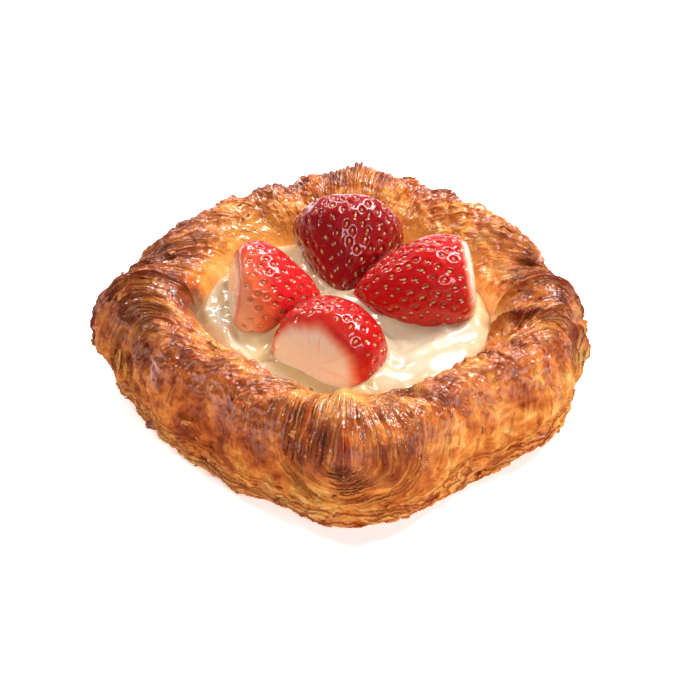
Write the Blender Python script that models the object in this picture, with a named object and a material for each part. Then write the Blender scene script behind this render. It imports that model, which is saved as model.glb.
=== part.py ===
"""A strawberry Danish pastry: a folded, laminated pastry case holding custard and four hulled strawberries.

Units are metres, +Z up. The origin is the middle of the flat underside. The case is a rounded square
standing on its corners in plan: its corners point along -Y (front), +X, +Y and -X.
"""

import math

import bmesh
import bpy
from mathutils import Matrix, Vector

MM = 0.001

# The plan of the case, in millimetres and degrees from +X: at its four corners and in the middle of its four
# sides, how far the outline and the well's edge reach from the axis, and how high the rim's crest stands.
PLAN = (
    # angle, outline, well, crest
    (-2.0, 58.2, 35.0, 29.6),
    (44.0, 52.0, 34.4, 31.0),
    (84.0, 57.6, 34.6, 32.4),
    (132.0, 51.4, 34.4, 30.0),
    (175.0, 58.4, 34.0, 30.0),
    (218.0, 47.0, 28.8, 28.8),
    (273.0, 57.6, 31.0, 28.2),
    (311.0, 49.8, 33.2, 28.6),
)
# Where the folded flaps of dough meet, in degrees from +X, and how far the crest drops there.
CLEFTS = ((0.0, 3.0), (84.0, 0.6), (180.0, 3.0), (271.0, 3.8))
CLEFT_WIDTH = 3.4
PLEATS = 29
PLEAT_HEIGHT = 0.8
PLEAT_SCALLOP = 0.5

CUSTARD_LEVEL = 21.2
CUSTARD_DOME = 1.6
FLOOR_THICKNESS = 9.0
GAP = 0.5

# The rim's section, from the base up over the crest to the custard's edge. Each pair is the share of the way
# from the well's edge to the outline, and the share of the crest's height.
RIM_SECTION = (
    (0.76, 0.0),
    (0.92, 0.09),
    (0.985, 0.25),
    (1.0, 0.42),
    (0.965, 0.62),
    (0.88, 0.81),
    (0.77, 0.94),
    (0.63, 1.0),
    (0.47, 0.985),
    (0.3, 0.93),
    (0.13, 0.84),
)
# The well below the custard's edge: the share of its radius, and the share of its depth.
WELL_SECTION = ((1.0, 0.0), (0.93, 0.5), (0.78, 0.88), (0.55, 1.0))

AROUND = 144
CUSTARD_AROUND = 72
CUSTARD_SHARES = (0.9, 0.72, 0.5, 0.25)

BERRY_SEGMENTS = 20
BERRY_RINGS = 9
SHOULDER_AT = 0.3

# Each strawberry, in millimetres: its length and largest diameter, the width of its hulled face as a share of
# that diameter, the middle of that face, and the point that its tip reaches towards.
STRAWBERRIES = {
    "strawberry_front": (23.0, 26.4, 0.88, (-5.6, -22.6, 24.4), (5.0, -0.4, 19.5)),
    "strawberry_left": (21.5, 23.8, 0.84, (-25.6, 2.4, 27.6), (-3.0, 5.4, 23.6)),
    "strawberry_back": (23.5, 27.0, 0.66, (3.1, 29.8, 30.5), (1.1, 9.3, 19.6)),
    "strawberry_right": (28.5, 22.5, 0.82, (30.9, 4.4, 30.0), (3.0, 2.6, 27.0)),
}


def clear_scene():
    """Removes every object that the file opened with."""
    for old in list(bpy.data.objects):
        bpy.data.objects.remove(old)


def material(name, colour, roughness):
    """A Principled material of one colour."""
    made = bpy.data.materials.new(name)
    made.use_nodes = True
    shader = made.node_tree.nodes["Principled BSDF"]
    shader.inputs["Base Color"].default_value = (*colour, 1.0)
    shader.inputs["Roughness"].default_value = roughness
    return made


def add_object(name, mesh_builder, finish):
    """An object whose mesh is a copy of the bmesh, shaded smooth except across its creases."""
    mesh = bpy.data.meshes.new(name)
    bmesh.ops.recalc_face_normals(mesh_builder, faces=mesh_builder.faces[:])
    mesh_builder.to_mesh(mesh)
    mesh_builder.free()
    mesh.shade_smooth()
    mesh.set_sharp_from_angle(angle=math.radians(50))
    mesh.materials.append(finish)
    made = bpy.data.objects.new(name, mesh)
    bpy.context.scene.collection.objects.link(made)
    return made


def around(angle, column):
    """A column of the plan at an angle, eased smoothly from each row to the next."""
    degrees = math.degrees(angle)
    for (before, *low), (after, *high) in zip(PLAN, PLAN[1:] + ((PLAN[0][0] + 360, *PLAN[0][1:]),)):
        along = (degrees - before) % 360 / (after - before)
        if along <= 1:
            eased = (1 - math.cos(math.pi * along)) / 2
            return low[column] + eased * (high[column] - low[column])
    raise ValueError(f"no row of the plan spans {degrees} degrees")


def outline(angle):
    """The case's widest reach at an angle."""
    return around(angle, 0)


def well_edge(angle):
    """The distance from the axis to the custard's edge."""
    return around(angle, 1)


def cleft_drop(angle):
    """How far the crest drops at an angle: most at each corner where two flaps meet, easing off to each side."""
    drop = 0.0
    for at, depth in CLEFTS:
        off = (math.degrees(angle) - at + 180) % 360 - 180
        across = math.radians(off) * outline(angle)
        drop += depth * math.exp(-((across / CLEFT_WIDTH) ** 2))
    return drop


def pleats(angle):
    """The uneven swell and dip of the pleats that cross the rim, from -1 to 1."""
    drift = 1.4 * math.sin(2 * angle + 0.7) + 0.9 * math.sin(5 * angle + 2.1)
    return math.sin(PLEATS * angle + drift) * (0.7 + 0.3 * math.sin(3 * angle + 1.2))


def crest(angle):
    """The height of the rim's crest at an angle."""
    return around(angle, 2) + PLEAT_HEIGHT * pleats(angle) - cleft_drop(angle)


def polar(angle, radius, height):
    """A point in metres, from an angle and millimetres."""
    return Vector((radius * math.cos(angle), radius * math.sin(angle), height)) * MM


def ring_angles(count):
    """Evenly spaced angles once round."""
    return [2 * math.pi * i / count for i in range(count)]


def rim_ring(radial_share, height_share):
    """One ring of the rim's outside, at these shares of its width and height."""
    ring = []
    for angle in ring_angles(AROUND):
        inner, outer = well_edge(angle), outline(angle)
        scallop = PLEAT_SCALLOP * pleats(angle) * height_share
        radius = inner + radial_share * (outer - inner) + scallop
        ring.append(polar(angle, radius, height_share * crest(angle)))
    return ring


def well_ring(radius_share, depth_share, count, inset=0.0):
    """One ring of the well, or of the custard in it where inset is the gap that it keeps."""
    depth = CUSTARD_LEVEL - FLOOR_THICKNESS
    height = CUSTARD_LEVEL - depth_share * (depth - inset)
    return [
        polar(angle, radius_share * (well_edge(angle) - inset), height) for angle in ring_angles(count)
    ]


def lofted(rings, low_middle, high_middle):
    """A closed body from rings of points, with a point in the middle of the first ring and of the last."""
    body = bmesh.new()
    loops = [[body.verts.new(point) for point in ring] for ring in rings]
    for lower, upper in zip(loops, loops[1:]):
        for i, corner in enumerate(lower):
            body.faces.new((corner, lower[i - 1], upper[i - 1], upper[i]))
    for loop, middle in ((loops[0], low_middle), (loops[-1], high_middle)):
        pole = body.verts.new(middle)
        for i, corner in enumerate(loop):
            body.faces.new((corner, loop[i - 1], pole))
    return body


def make_case(finish):
    """The pastry case: flat underneath, puffed at the rim, with a round well for the custard."""
    rings = [rim_ring(radial, height) for radial, height in RIM_SECTION]
    rings += [well_ring(radius, depth, AROUND) for radius, depth in WELL_SECTION]
    return add_object(
        "pastry", lofted(rings, Vector((0, 0, 0)), Vector((0, 0, FLOOR_THICKNESS * MM))), finish
    )


def custard_ring(share):
    """One ring of the custard's domed top, at this share of the way out to its edge."""
    height = CUSTARD_LEVEL + CUSTARD_DOME * (1 - share**2)
    return [polar(angle, share * (well_edge(angle) - GAP), height) for angle in ring_angles(CUSTARD_AROUND)]


def make_custard(finish):
    """The custard: it fills the well to its edge and rises to a low dome under the strawberries."""
    rings = [well_ring(radius, depth, CUSTARD_AROUND, GAP) for radius, depth in reversed(WELL_SECTION)]
    rings += [custard_ring(share) for share in CUSTARD_SHARES]
    low = Vector((0, 0, FLOOR_THICKNESS + GAP)) * MM
    high = Vector((0, 0, CUSTARD_LEVEL + CUSTARD_DOME)) * MM
    return add_object("custard", lofted(rings, low, high), finish)


def berry_radius(share, face):
    """A strawberry's radius, as a share of its largest, from its hulled face at 0 to its tip at 1."""
    if share <= SHOULDER_AT:
        return 1 - (1 - face) * (1 - share / SHOULDER_AT) ** 2
    along = (share - SHOULDER_AT) / (1 - SHOULDER_AT)
    return (1 - along**2) ** 0.8


def berry_body(length, diameter, face, grown=0.0):
    """A strawberry along +Z, from its flat hulled face at the origin to its tip, grown all over by a margin."""
    rings = []
    for step in range(BERRY_RINGS):
        share = step / BERRY_RINGS
        radius = diameter / 2 * berry_radius(share, face) + grown
        height = share * length - (grown if step == 0 else 0.0)
        rings.append([polar(angle, radius, height) for angle in ring_angles(BERRY_SEGMENTS)])
    return lofted(rings, Vector((0, 0, -grown)) * MM, Vector((0, 0, length + grown)) * MM)


def berry_place(face_middle, towards):
    """Turns a strawberry's +Z from its hulled face to its tip, and puts the face in its place."""
    start = Vector(face_middle) * MM
    way = (Vector(towards) * MM - start).normalized()
    return Matrix.Translation(start) @ way.to_track_quat("Z", "Y").to_matrix().to_4x4()


def make_strawberries(finish, custard):
    """The four strawberries, tips together, each resting in a hollow cut for it in the custard."""
    for name, (length, diameter, face, face_middle, towards) in STRAWBERRIES.items():
        place = berry_place(face_middle, towards)
        berry = add_object(name, berry_body(length, diameter, face), finish)
        berry.matrix_world = place
        hollow = add_object(name + "_hollow", berry_body(length, diameter, face, grown=GAP), finish)
        hollow.matrix_world = place
        hollow.hide_render = True
        hollow.display_type = "WIRE"
        cut = custard.modifiers.new(name + "_hollow", "BOOLEAN")
        cut.operation = "DIFFERENCE"
        cut.object = hollow


def main():
    """Builds the pastry from its case up."""
    clear_scene()
    crust = material("baked_crust", (0.52, 0.20, 0.05), 0.35)
    cream = material("custard_cream", (0.90, 0.76, 0.46), 0.3)
    fruit = material("glazed_strawberry", (0.62, 0.02, 0.03), 0.15)
    make_case(crust)
    custard = make_custard(cream)
    make_strawberries(fruit, custard)


main()
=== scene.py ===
"""A glazed strawberry Danish pastry, on a pale floor in soft studio light.

The case is four folded flaps of laminated dough round a well of custard, with four hulled strawberries set in it.
Sizes are in millimetres until a mesh is made, and metres from there on. +Z is up and the front corner is at -Y.
"""

from __future__ import annotations

import logging
import math
from dataclasses import dataclass, field
from enum import Enum

import bpy
import numpy as np
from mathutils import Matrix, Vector


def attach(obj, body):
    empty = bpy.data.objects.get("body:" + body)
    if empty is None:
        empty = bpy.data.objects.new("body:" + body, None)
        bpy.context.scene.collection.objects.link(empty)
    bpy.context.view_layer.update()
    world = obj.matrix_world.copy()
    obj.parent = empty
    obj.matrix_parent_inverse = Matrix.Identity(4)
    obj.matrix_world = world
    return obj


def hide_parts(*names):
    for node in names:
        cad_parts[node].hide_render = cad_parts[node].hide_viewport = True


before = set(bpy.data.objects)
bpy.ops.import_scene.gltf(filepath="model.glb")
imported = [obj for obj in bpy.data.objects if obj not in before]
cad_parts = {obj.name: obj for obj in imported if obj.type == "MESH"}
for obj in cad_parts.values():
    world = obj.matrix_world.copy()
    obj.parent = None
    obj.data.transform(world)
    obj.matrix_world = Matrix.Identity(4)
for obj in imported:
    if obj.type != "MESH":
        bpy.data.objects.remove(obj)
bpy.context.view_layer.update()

LOG = logging.getLogger("danish")
MM = 0.001
TURN = 2 * math.pi
BAKE_UV = "OFBake"
GOLDEN_TURN = 0.381966
SEED_SINK = 0.34
FLOOR_HALF = 3.0
LIGHT_AIM = (0.0, 0.0, 0.02)


# ---------------------------------------------------------------------------------------------------------------
# Shared tools: noise, meshes and shader nodes
# ---------------------------------------------------------------------------------------------------------------


def ease(low: float, high: float, value: np.ndarray) -> np.ndarray:
    """Rises smoothly from 0 at low to 1 at high.

    Args:
        low: Where the rise starts.
        high: Where it ends.
        value: The values to ease.

    Returns:
        The eased share at each value.
    """
    share = np.clip((value - low) / (high - low), 0.0, 1.0)
    return share * share * (3 - 2 * share)


def bell(value: np.ndarray, width: float) -> np.ndarray:
    """A bell curve, 1 at nought and falling off over a width.

    Args:
        value: Distances from the middle.
        width: How wide the bell is.

    Returns:
        The bell's height at each value.
    """
    return np.exp(-((value / width) ** 2))


class Noise:
    """Smooth gradient noise in three dimensions, the same on every run."""

    def __init__(self, seed: int) -> None:
        """Lays out the lattice's shuffled order and its gradients.

        Args:
            seed: Chooses the pattern.
        """
        rng = np.random.default_rng(seed)
        self.order = rng.permutation(256).astype(np.int32)
        slopes = rng.normal(size=(256, 3)).astype(np.float32)
        slopes /= np.linalg.norm(slopes, axis=1, keepdims=True)
        self.slopes = [np.ascontiguousarray(slopes[:, axis]) for axis in range(3)]

    def __call__(self, x: np.ndarray, y: np.ndarray, z: np.ndarray | float = 0.0) -> np.ndarray:
        """The noise at each point, from about -1 to 1.

        Args:
            x: First coordinates, in units of the pattern's pitch.
            y: Second coordinates.
            z: Third coordinates.

        Returns:
            One value for each point.
        """
        points = np.broadcast_arrays(*(np.asarray(part, np.float32) for part in (x, y, z)))
        cells = [np.floor(part).astype(np.int32) for part in points]
        within = [part - cell for part, cell in zip(points, cells)]
        fade = [part * part * part * (part * (part * 6 - 15) + 10) for part in within]
        along_x = [self.order[(cells[0] + step) & 255] for step in (0, 1)]
        total = np.zeros(points[0].shape, np.float32)
        for step_x in (0, 1):
            weight_x = fade[0] if step_x else 1 - fade[0]
            for step_y in (0, 1):
                row = self.order[(along_x[step_x] + cells[1] + step_y) & 255]
                weight_y = fade[1] if step_y else 1 - fade[1]
                for step_z in (0, 1):
                    key = self.order[(row + cells[2] + step_z) & 255]
                    dot = self.slopes[0][key] * (within[0] - step_x)
                    dot += self.slopes[1][key] * (within[1] - step_y)
                    dot += self.slopes[2][key] * (within[2] - step_z)
                    weight_z = fade[2] if step_z else 1 - fade[2]
                    total += dot * weight_x * weight_y * weight_z
        return total * 1.6

    def at(self, points: np.ndarray, pitch: float) -> np.ndarray:
        """The noise at points in space.

        Args:
            points: Positions, their last axis of length three.
            pitch: The size of the pattern, in the points' units.

        Returns:
            One value for each point.
        """
        return self(points[..., 0] / pitch, points[..., 1] / pitch, points[..., 2] / pitch)


def smooth_curve(knots: np.ndarray, steps: int) -> np.ndarray:
    """A smooth curve that passes through every knot.

    Args:
        knots: The points to pass through, one a row.
        steps: How many points to lay from each knot to the next.

    Returns:
        The curve's points, one a row.
    """
    padded = np.vstack([2 * knots[0] - knots[1], knots, 2 * knots[-1] - knots[-2]])
    share = np.linspace(0, 1, steps, endpoint=False)[:, None]
    pieces = []
    for before, start, end, after in zip(padded, padded[1:], padded[2:], padded[3:]):
        bend = 2 * before - 5 * start + 4 * end - after
        twist = -before + 3 * start - 3 * end + after
        pieces.append(start + 0.5 * share * (end - before + share * (bend + share * twist)))
    return np.vstack([*pieces, knots[-1:]])


def arc_length(points: np.ndarray) -> np.ndarray:
    """The distance along a line of points, from nought at the first."""
    return np.concatenate([[0.0], np.cumsum(np.linalg.norm(np.diff(points, axis=0), axis=1))])


def surface_normals(grid: np.ndarray, closed: bool) -> np.ndarray:
    """The unit normals of a grid of points.

    Args:
        grid: The points, by row and column.
        closed: Whether the last column meets the first.

    Returns:
        A normal for each point, pointing to the left of a walk up a column with the columns running right.
    """
    down = np.gradient(grid, axis=0)
    if closed:
        across = np.roll(grid, -1, axis=1) - np.roll(grid, 1, axis=1)
    else:
        across = np.gradient(grid, axis=1)
    normals = np.cross(across, down)
    return normals / np.maximum(np.linalg.norm(normals, axis=2, keepdims=True), 1e-9)


def make_piece(
    name: str,
    points: np.ndarray,
    faces: list[np.ndarray],
    corners_uv: np.ndarray,
    finish: bpy.types.Material,
    facts: dict[str, np.ndarray],
) -> bpy.types.Object:
    """Makes a smooth mesh object at the origin, with a bake map and named values on its points.

    Args:
        name: The piece's name.
        points: Its points in millimetres.
        faces: Arrays of faces, each array's faces having the same number of corners.
        corners_uv: The bake map's place for every corner, in the faces' order.
        finish: Its material.
        facts: Values for every point, by name: one number or three each.

    Returns:
        The new object.
    """
    mesh = bpy.data.meshes.new(name)
    mesh.vertices.add(len(points))
    mesh.vertices.foreach_set("co", (points * MM).astype(np.float32).ravel())
    corner_points = np.concatenate([part.ravel() for part in faces]).astype(np.int32)
    sizes = np.concatenate([np.full(len(part), part.shape[1], np.int32) for part in faces])
    mesh.loops.add(len(corner_points))
    mesh.loops.foreach_set("vertex_index", corner_points)
    mesh.polygons.add(len(sizes))
    starts = np.concatenate([[0], np.cumsum(sizes)[:-1]]).astype(np.int32)
    mesh.polygons.foreach_set("loop_start", starts)
    mesh.uv_layers.new(name=BAKE_UV).data.foreach_set("uv", corners_uv.astype(np.float32).ravel())
    for fact, values in facts.items():
        kind = "FLOAT_VECTOR" if values.ndim == 2 else "FLOAT"
        stored = mesh.attributes.new(fact, kind, "POINT")
        stored.data.foreach_set("vector" if values.ndim == 2 else "value", values.astype(np.float32).ravel())
    mesh.update(calc_edges=True)
    mesh.shade_smooth()
    mesh.validate()
    mesh.materials.append(finish)
    piece = bpy.data.objects.new(name, mesh)
    bpy.context.scene.collection.objects.link(piece)
    return piece


def make_shell(
    name: str,
    rings: np.ndarray,
    first_pole: np.ndarray,
    last_pole: np.ndarray,
    finish: bpy.types.Material,
    facts: dict[str, np.ndarray],
) -> bpy.types.Object:
    """Makes a closed skin through rings of points, with a pole at each end.

    Args:
        name: The piece's name.
        rings: The points in millimetres, by ring and place round it, anticlockwise seen from the last pole.
        first_pole: The point that closes the first ring.
        last_pole: The point that closes the last ring.
        finish: Its material.
        facts: Values for every ring point, by name. A pole takes the mean of its ring's.

    Returns:
        The new object.
    """
    count, around = rings.shape[:2]
    index = np.arange(count * around).reshape(count, around)
    turned = np.roll(index, -1, axis=1)
    quads = np.stack([index[:-1], turned[:-1], turned[1:], index[1:]], axis=-1).reshape(-1, 4)
    first, last = count * around, count * around + 1
    low = np.stack([turned[0], index[0], np.full(around, first)], axis=-1)
    high = np.stack([index[-1], turned[-1], np.full(around, last)], axis=-1)
    spread = np.concatenate([first_pole[None], rings[:, 0], last_pole[None]])
    height = arc_length(spread)
    height = 0.01 + 0.98 * height / height[-1]
    left = 0.01 + 0.98 * np.arange(around) / around
    right = 0.01 + 0.98 * (np.arange(around) + 1) / around
    low_v, high_v = (np.repeat(part[:, None], around, axis=1) for part in (height[1:-2], height[2:-1]))
    left_u, right_u = (np.repeat(part[None], count - 1, axis=0) for part in (left, right))
    quad_uv = np.stack([left_u, low_v, right_u, low_v, right_u, high_v, left_u, high_v], axis=-1).reshape(-1, 2)
    base = np.full(around, height[1])
    top = np.full(around, height[-2])
    mid = (left + right) / 2
    low_uv = np.stack([right, base, left, base, mid, np.full(around, height[0])], axis=-1).reshape(-1, 2)
    high_uv = np.stack([left, top, right, top, mid, np.full(around, height[-1])], axis=-1).reshape(-1, 2)
    points = np.vstack([rings.reshape(-1, 3), first_pole, last_pole])
    stored = {}
    for fact, values in facts.items():
        flat = values.reshape(count * around, *values.shape[2:])
        ends = [values[0].mean(axis=0, keepdims=True), values[-1].mean(axis=0, keepdims=True)]
        stored[fact] = np.concatenate([flat, *ends])
    return make_piece(name, points, [quads, low, high], np.vstack([quad_uv, low_uv, high_uv]), finish, stored)


def plain_copy(piece: bpy.types.Object) -> bpy.types.Object:
    """Turns a piece's modifiers into a plain mesh, under the same name.

    Args:
        piece: The piece whose modifiers are to be made real. It is removed.

    Returns:
        The plain piece.
    """
    name = piece.name
    held = bpy.context.evaluated_depsgraph_get()
    mesh = bpy.data.meshes.new_from_object(piece.evaluated_get(held))
    piece.modifiers.clear()
    bpy.data.objects.remove(piece)
    mesh.name = name
    plain = bpy.data.objects.new(name, mesh)
    bpy.context.scene.collection.objects.link(plain)
    return plain


Stops = tuple[tuple[float, tuple[float, float, float]], ...]
Socket = bpy.types.NodeSocket


class Bench:
    """A material's node tree, with short ways to add what the finishes need."""

    def __init__(self, name: str) -> None:
        """Starts a material with a Principled shader.

        Args:
            name: The material's name.
        """
        self.material = bpy.data.materials.new(name)
        self.material.use_nodes = True
        self.tree = self.material.node_tree
        self.shader = self.tree.nodes["Principled BSDF"]

    def add(self, kind: str, inputs: dict[str | int, object] | None = None, **settings: object) -> bpy.types.Node:
        """Adds a node.

        Args:
            kind: The node's type.
            inputs: Values, or sockets to link, by the input's name or number.
            **settings: The node's own properties.

        Returns:
            The new node.
        """
        node = self.tree.nodes.new(kind)
        for key, value in settings.items():
            setattr(node, key, value)
        for key, value in (inputs or {}).items():
            self.feed(node.inputs[key], value)
        return node

    def feed(self, socket: Socket, value: object) -> None:
        """Links a socket to another, or sets its value."""
        if isinstance(value, bpy.types.NodeSocket):
            self.tree.links.new(value, socket)
        else:
            socket.default_value = value

    def set(self, **values: object) -> None:
        """Sets or links the shader's own sockets; an underscore in a name stands for a space."""
        for key, value in values.items():
            self.feed(self.shader.inputs[key.replace("_", " ")], value)

    def fact(self, name: str) -> Socket:
        """The number stored on the mesh under a name."""
        return self.add("ShaderNodeAttribute", attribute_name=name).outputs["Fac"]

    def fact_vector(self, name: str) -> Socket:
        """The vector stored on the mesh under a name."""
        return self.add("ShaderNodeAttribute", attribute_name=name).outputs["Vector"]

    def place(self) -> Socket:
        """The object's own coordinates."""
        return self.add("ShaderNodeTexCoord").outputs["Object"]

    def noise(self, vector: Socket, scale: float, detail: float = 3.0, rough: float = 0.55) -> Socket:
        """Cloudy noise from 0 to 1 over a vector."""
        inputs = {"Vector": vector, "Scale": scale, "Detail": detail, "Roughness": rough}
        return self.add("ShaderNodeTexNoise", inputs).outputs["Fac"]

    def math(self, operation: str, first: object, second: object = 0.0, clamp: bool = False) -> Socket:
        """A sum or other operation on one or two numbers."""
        return self.add("ShaderNodeMath", {0: first, 1: second}, operation=operation, use_clamp=clamp).outputs[0]

    def spread(self, value: Socket, low: float, high: float, to_low: float = 0.0, to_high: float = 1.0) -> Socket:
        """Maps a range of a value smoothly to another range."""
        inputs = {"Value": value, "From Min": low, "From Max": high, "To Min": to_low, "To Max": to_high}
        return self.add("ShaderNodeMapRange", inputs, interpolation_type="SMOOTHSTEP").outputs[0]

    def sway(self, value: Socket, amount: float) -> Socket:
        """A 0 to 1 value as a swing about nought, amount to each side."""
        centred = self.math("SUBTRACT", value, 0.5)
        return self.math("MULTIPLY", centred, 2 * amount)

    def crest(self, value: Socket, steepness: float) -> Socket:
        """Turns cloudy noise into thin crests, 1 along them and falling to nought on both sides."""
        off = self.math("ABSOLUTE", self.math("SUBTRACT", value, 0.5))
        return self.math("SUBTRACT", 1.0, self.math("MULTIPLY", off, 2 * steepness), clamp=True)

    def ramp(self, value: Socket, stops: Stops) -> Socket:
        """A colour for each value.

        Args:
            value: The value that chooses the colour.
            stops: Values, each with its colour.

        Returns:
            The colour's socket.
        """
        node = self.add("ShaderNodeValToRGB", {0: value})
        elements = node.color_ramp.elements
        while len(elements) < len(stops):
            elements.new(1.0)
        for element, (position, colour) in zip(elements, stops):
            element.position = position
            element.color = (*colour, 1.0)
        return node.outputs[0]

    def blend(self, share: object, first: object, second: object, mode: str = "MIX") -> Socket:
        """Two colours mixed.

        Args:
            share: How much of the second.
            first: The first colour.
            second: The second colour.
            mode: How they are mixed.

        Returns:
            The mixed colour's socket.
        """
        node = self.add("ShaderNodeMix", data_type="RGBA", blend_type=mode)
        for number, value in ((0, share), (6, first), (7, second)):
            if isinstance(value, tuple):
                value = (*value, 1.0)
            self.feed(node.inputs[number], value)
        return node.outputs[2]

    def bump(self, height: Socket, distance: float, strength: float = 1.0, after: Socket | None = None) -> Socket:
        """A normal for a height given in units of a distance in metres."""
        inputs: dict[str | int, object] = {"Height": height, "Distance": distance, "Strength": strength}
        if after is not None:
            inputs["Normal"] = after
        return self.add("ShaderNodeBump", inputs).outputs[0]


# ---------------------------------------------------------------------------------------------------------------
# Finishes
# ---------------------------------------------------------------------------------------------------------------

Colour = tuple[float, float, float]


@dataclass(frozen=True)
class CrustFinish:
    """Baked laminated dough under a clear glaze that thins out down the wall, with painted shade in its crevices and
    painted highlights along its layers' edges.
    """

    bake_colours: Stops = (
        (0.0, (0.90, 0.50, 0.15)),
        (0.2, (0.82, 0.32, 0.055)),
        (0.4, (0.66, 0.175, 0.026)),
        (0.6, (0.44, 0.082, 0.010)),
        (0.8, (0.25, 0.038, 0.006)),
        (1.0, (0.12, 0.015, 0.004)),
    )
    crevice_shade_colour: Colour = (0.36, 0.10, 0.035)
    edge_highlight_colour: Colour = (0.88, 0.35, 0.075)
    soaked_colour: Colour = (0.86, 0.46, 0.10)
    crumb_colour: Colour = (0.72, 0.31, 0.10)
    dry_roughness: float = 0.62
    glazed_roughness: float = 0.36

    def make(self) -> bpy.types.Material:
        """Builds the material.

        Returns:
            The finished material.
        """
        bench = Bench("baked_crust")
        place = bench.place()
        cloud = bench.noise(place, 190.0, 4.0, 0.6)
        wrinkle = bench.crest(bench.noise(place, 360.0, 3.0, 0.55), 2.4)
        speck = bench.noise(place, 1500.0, 2.0, 0.6)
        tone = bench.math("ADD", bench.fact("bake"), bench.sway(bench.spread(cloud, 0.33, 0.67), 0.17))
        tone = bench.math("SUBTRACT", tone, bench.sway(wrinkle, 0.07))
        tone = bench.math("ADD", tone, bench.sway(speck, 0.10))
        height = bench.math("MULTIPLY", wrinkle, 0.35)
        slit_shade: Socket | float = 0.0
        lit: Socket | float = 0.0
        for fact, share, depth in (("strand", "opened", 1.0), ("thread", "opened", 0.55), ("sheet", "torn", 0.5)):
            phase, amount = bench.fact(fact), bench.fact(share)
            within = bench.math("FRACT", phase)
            own = bench.add("ShaderNodeTexWhiteNoise", {"W": bench.math("FLOOR", phase)}, noise_dimensions="1D")
            tone = bench.math("ADD", tone, bench.math("MULTIPLY", amount, bench.sway(own.outputs[0], 0.16 * depth)))
            rise = bench.spread(within, 0.0, 0.75)
            fall = bench.spread(within, 0.88, 1.0, 1.0, 0.0)
            edge = bench.math("MULTIPLY", bench.math("MULTIPLY", rise, fall), amount)
            height = bench.math("ADD", height, bench.math("MULTIPLY", edge, depth))
            # Painted shade: the slit at the foot of each layer is darkened.
            slit = bench.math("MULTIPLY", bench.spread(within, 0.02, 0.34, 1.0, 0.0), amount)
            slit_shade = bench.math("MAXIMUM", slit_shade, bench.math("MULTIPLY", slit, 0.5 + 0.5 * depth))
            # Painted highlight: a lighter band along the top of each layer's edge.
            bright = bench.math("MULTIPLY", bench.spread(within, 0.60, 0.86), bench.math("MULTIPLY", fall, amount))
            lit = bench.math("MAXIMUM", lit, bench.math("MULTIPLY", bright, 0.55 * depth))
        colour = bench.ramp(bench.math("ADD", tone, 0.0, clamp=True), self.bake_colours)
        colour = bench.blend(bench.math("MULTIPLY", bench.fact("dry"), 0.6), colour, self.crumb_colour)
        colour = bench.blend(bench.math("MULTIPLY", bench.fact("soaked"), 0.6), colour, self.soaked_colour)
        # Painted highlight: the lighter edge colour is laid along the layers' edges.
        colour = bench.blend(lit, colour, self.edge_highlight_colour)
        # Painted shade: the slits and the crevices stored on the mesh are multiplied by the dark shade colour, and
        # their glaze is thinned.
        gap = bench.math("MAXIMUM", slit_shade, bench.fact("gap"), clamp=True)
        colour = bench.blend(gap, colour, self.crevice_shade_colour, "MULTIPLY")
        open_skin = bench.math("SUBTRACT", 1.0, bench.math("MULTIPLY", gap, 0.8))
        glaze = bench.math("MULTIPLY", bench.fact("glaze"), open_skin)
        patchy = bench.math("MULTIPLY", glaze, bench.spread(cloud, 0.3, 0.5, 0.5, 1.0))
        rough = bench.spread(patchy, 0.0, 1.0, self.dry_roughness, self.glazed_roughness)
        normal = bench.bump(height, 0.00042, 1.0)
        normal = bench.bump(speck, 0.00010, 1.0, normal)
        film = bench.bump(height, 0.00020, 1.0)
        film = bench.bump(bench.noise(place, 430.0, 2.0, 0.5), 0.00040, 1.0, film)
        bench.set(Base_Color=colour, Roughness=rough, Normal=normal, Coat_Normal=film)
        bench.set(Coat_Weight=patchy, Coat_Roughness=0.05, Coat_IOR=1.56, Specular_IOR_Level=0.12)
        return bench.material


@dataclass(frozen=True)
class CustardFinish:
    """Set custard: pale, smooth and moist, a little yellower where glaze has pooled on it, and darker as painted shade
    against the strawberries, round the crust and over the left side.
    """

    cream: Colour = (0.70, 0.58, 0.40)
    shade: Colour = (0.68, 0.46, 0.21)
    roughness: float = 0.32

    def make(self) -> bpy.types.Material:
        """Builds the material.

        Returns:
            The finished material.
        """
        bench = Bench("custard_cream")
        place = bench.place()
        cloud = bench.noise(place, 110.0, 3.0, 0.5)
        glaze_pool_and_shade = bench.math("ADD", bench.fact("glaze_pool_and_shade"), bench.sway(cloud, 0.25), clamp=True)
        colour = bench.blend(glaze_pool_and_shade, self.cream, self.shade)
        bench.set(Base_Color=colour, Roughness=self.roughness)
        bench.set(Normal=bench.bump(bench.noise(place, 500.0, 2.0), 0.00012, 0.5))
        bench.set(Coat_Weight=0.6, Coat_Roughness=0.06, Subsurface_Weight=0.35)
        bench.set(Subsurface_Radius=(0.004, 0.0022, 0.001), Subsurface_Scale=1.0)
        return bench.material


class Ripeness(Enum):
    """How far a strawberry has coloured: the red of its skin, and how far the pale shoulder reaches."""

    DEEP = "deep"
    RED = "red"
    BLUSHED = "blushed"


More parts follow.
